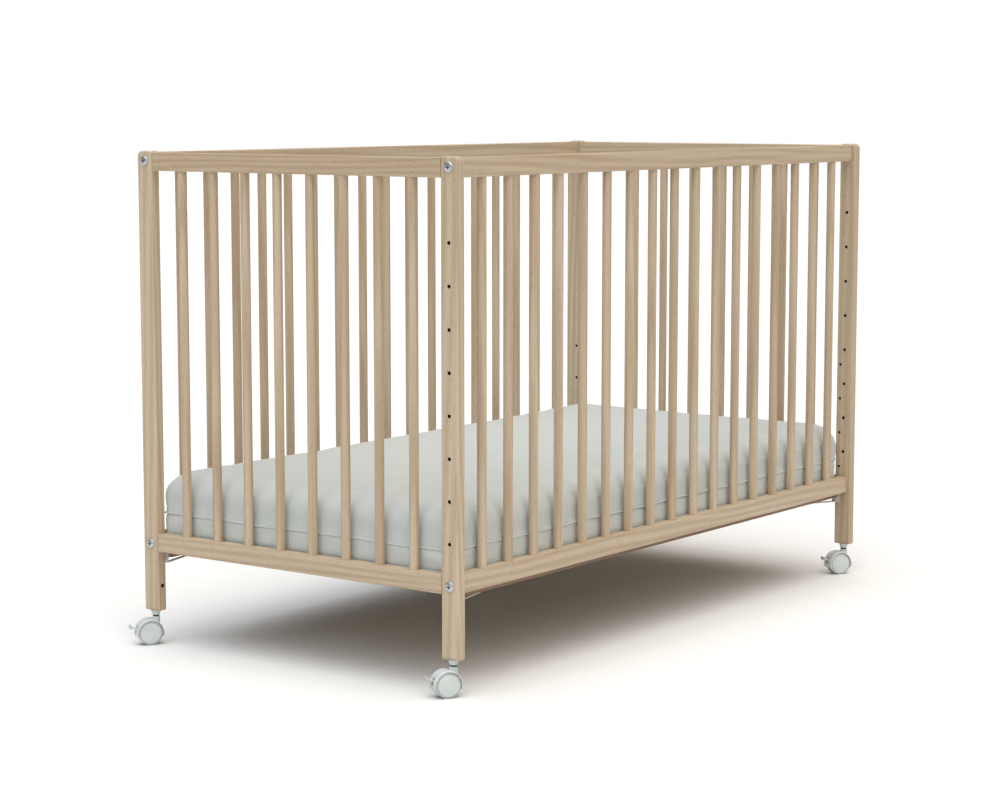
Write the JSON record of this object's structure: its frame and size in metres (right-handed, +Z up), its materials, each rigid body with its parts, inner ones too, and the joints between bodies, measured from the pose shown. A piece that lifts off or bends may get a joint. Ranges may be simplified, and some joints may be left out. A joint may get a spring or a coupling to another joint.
{
  "type": "baby crib",
  "caption": "Wooden baby crib with spindle sides, a slatted base at an adjustable height, a mattress and braked swivel casters.",
  "frame": {"origin": "on the floor, under the middle of the whole object's box, casters and brake tabs included", "axes": "+Z up; X along the long sides, Y across; front is -Y, back +Y, left -X, right +X. The wooden frame's own centre is at x 0.012, y -0.006"},
  "size_m": [1.2794, 0.6675, 0.814],
  "materials": {
    "wood": "sanded beech under a clear matt lacquer",
    "zinc": "bright zinc plate",
    "white_steel": "white satin lacquer",
    "white_plastic": "semi-gloss moulded nylon",
    "cover": "finely ribbed woven cover"
  },
  "bodies": {
    "frame": {"post_front_left": "wood", "post_front_right": "wood", "post_back_left": "wood", "post_back_right": "wood", "top_rail_front": "wood", "spindled_rail_front": "wood", "top_rail_back": "wood", "spindled_rail_back": "wood", "top_rail_left": "wood", "spindled_rail_left": "wood", "top_rail_right": "wood", "spindled_rail_right": "wood", "connector_bolt_upper_front_left": "zinc", "connector_bolt_lower_front_left": "zinc", "connector_bolt_upper_front_right": "zinc", "connector_bolt_lower_front_right": "zinc", "connector_bolt_upper_back_left": "zinc", "connector_bolt_lower_back_left": "zinc", "connector_bolt_upper_back_right": "zinc", "connector_bolt_lower_back_right": "zinc", "base_bracket_front_left": "white_steel", "base_bracket_front_right": "white_steel", "base_bracket_back_left": "white_steel", "base_bracket_back_right": "white_steel", "caster_socket_front_left": "white_plastic", "caster_socket_front_right": "white_plastic", "caster_socket_back_left": "white_plastic", "caster_socket_back_right": "white_plastic"},
    "base": {"base_batten_front": "wood", "base_batten_back": "wood", "base_slat_1": "wood", "base_slat_2": "wood", "base_slat_3": "wood", "base_slat_4": "wood", "base_slat_5": "wood", "base_slat_6": "wood", "base_slat_7": "wood", "base_slat_8": "wood", "base_slat_9": "wood"},
    "mattress": {"mattress": "cover"},
    "caster_front_left": {"caster_hood_front_left": "white_plastic", "caster_axle_front_left": "zinc"},
    "wheel_outer_front_left": {"caster_wheel_outer_front_left": "white_plastic"},
    "wheel_inner_front_left": {"caster_wheel_inner_front_left": "white_plastic"},
    "brake_front_left": {"caster_brake_front_left": "white_plastic"},
    "caster_front_right": {"caster_hood_front_right": "white_plastic", "caster_axle_front_right": "zinc"},
    "wheel_outer_front_right": {"caster_wheel_outer_front_right": "white_plastic"},
    "wheel_inner_front_right": {"caster_wheel_inner_front_right": "white_plastic"},
    "brake_front_right": {"caster_brake_front_right": "white_plastic"},
    "caster_back_left": {"caster_hood_back_left": "white_plastic", "caster_axle_back_left": "zinc"},
    "wheel_outer_back_left": {"caster_wheel_outer_back_left": "white_plastic"},
    "wheel_inner_back_left": {"caster_wheel_inner_back_left": "white_plastic"},
    "brake_back_left": {"caster_brake_back_left": "white_plastic"},
    "caster_back_right": {"caster_hood_back_right": "white_plastic", "caster_axle_back_right": "zinc"},
    "wheel_outer_back_right": {"caster_wheel_outer_back_right": "white_plastic"},
    "wheel_inner_back_right": {"caster_wheel_inner_back_right": "white_plastic"},
    "brake_back_right": {"caster_brake_back_right": "white_plastic"}
  },
  "joints": [
    {"name": "base_height", "type": "slide", "parent": "frame", "child": "base", "axis": [0, 0, 1], "range_m": [0, 0.2582]},
    {"name": "mattress_lift_out", "type": "slide", "parent": "base", "child": "mattress", "axis": [0, 0, 1], "range_m": [0, 0.65]},
    {"name": "swivel_front_left", "type": "hinge", "parent": "frame", "child": "caster_front_left", "pos_m": [-0.599, -0.3165, 0.05], "axis": [0, 0, 1], "continuous": true},
    {"name": "roll_outer_front_left", "type": "hinge", "parent": "caster_front_left", "child": "wheel_outer_front_left", "pos_m": [-0.60864, -0.31024, 0.02], "axis": [-0.5446, -0.8387, 0], "continuous": true},
    {"name": "roll_inner_front_left", "type": "hinge", "parent": "caster_front_left", "child": "wheel_inner_front_left", "pos_m": [-0.60864, -0.31024, 0.02], "axis": [-0.5446, -0.8387, 0], "continuous": true},
    {"name": "brake_front_left", "type": "hinge", "parent": "caster_front_left", "child": "brake_front_left", "pos_m": [-0.62164, -0.30179, 0.025], "axis": [-0.5446, -0.8387, 0], "range_deg": [0, 20]},
    {"name": "swivel_front_right", "type": "hinge", "parent": "frame", "child": "caster_front_right", "pos_m": [0.623, -0.3165, 0.05], "axis": [0, 0, 1], "continuous": true},
    {"name": "roll_outer_front_right", "type": "hinge", "parent": "caster_front_right", "child": "wheel_outer_front_right", "pos_m": [0.61335, -0.31024, 0.02], "axis": [-0.5446, -0.8387, 0], "continuous": true},
    {"name": "roll_inner_front_right", "type": "hinge", "parent": "caster_front_right", "child": "wheel_inner_front_right", "pos_m": [0.61335, -0.31024, 0.02], "axis": [-0.5446, -0.8387, 0], "continuous": true},
    {"name": "brake_front_right", "type": "hinge", "parent": "caster_front_right", "child": "brake_front_right", "pos_m": [0.60036, -0.30179, 0.025], "axis": [-0.5446, -0.8387, 0], "range_deg": [0, 20]},
    {"name": "swivel_back_left", "type": "hinge", "parent": "frame", "child": "caster_back_left", "pos_m": [-0.599, 0.3045, 0.05], "axis": [0, 0, 1], "continuous": true},
    {"name": "roll_outer_back_left", "type": "hinge", "parent": "caster_back_left", "child": "wheel_outer_back_left", "pos_m": [-0.60864, 0.31076, 0.02], "axis": [-0.5446, -0.8387, 0], "continuous": true},
    {"name": "roll_inner_back_left", "type": "hinge", "parent": "caster_back_left", "child": "wheel_inner_back_left", "pos_m": [-0.60864, 0.31076, 0.02], "axis": [-0.5446, -0.8387, 0], "continuous": true},
    {"name": "brake_back_left", "type": "hinge", "parent": "caster_back_left", "child": "brake_back_left", "pos_m": [-0.62164, 0.31921, 0.025], "axis": [-0.5446, -0.8387, 0], "range_deg": [0, 20]},
    {"name": "swivel_back_right", "type": "hinge", "parent": "frame", "child": "caster_back_right", "pos_m": [0.623, 0.3045, 0.05], "axis": [0, 0, 1], "continuous": true},
    {"name": "roll_outer_back_right", "type": "hinge", "parent": "caster_back_right", "child": "wheel_outer_back_right", "pos_m": [0.61335, 0.31076, 0.02], "axis": [-0.5446, -0.8387, 0], "continuous": true},
    {"name": "roll_inner_back_right", "type": "hinge", "parent": "caster_back_right", "child": "wheel_inner_back_right", "pos_m": [0.61335, 0.31076, 0.02], "axis": [-0.5446, -0.8387, 0], "continuous": true},
    {"name": "brake_back_right", "type": "hinge", "parent": "caster_back_right", "child": "brake_back_right", "pos_m": [0.60036, 0.31921, 0.025], "axis": [-0.5446, -0.8387, 0], "range_deg": [0, 20]}
  ]
}
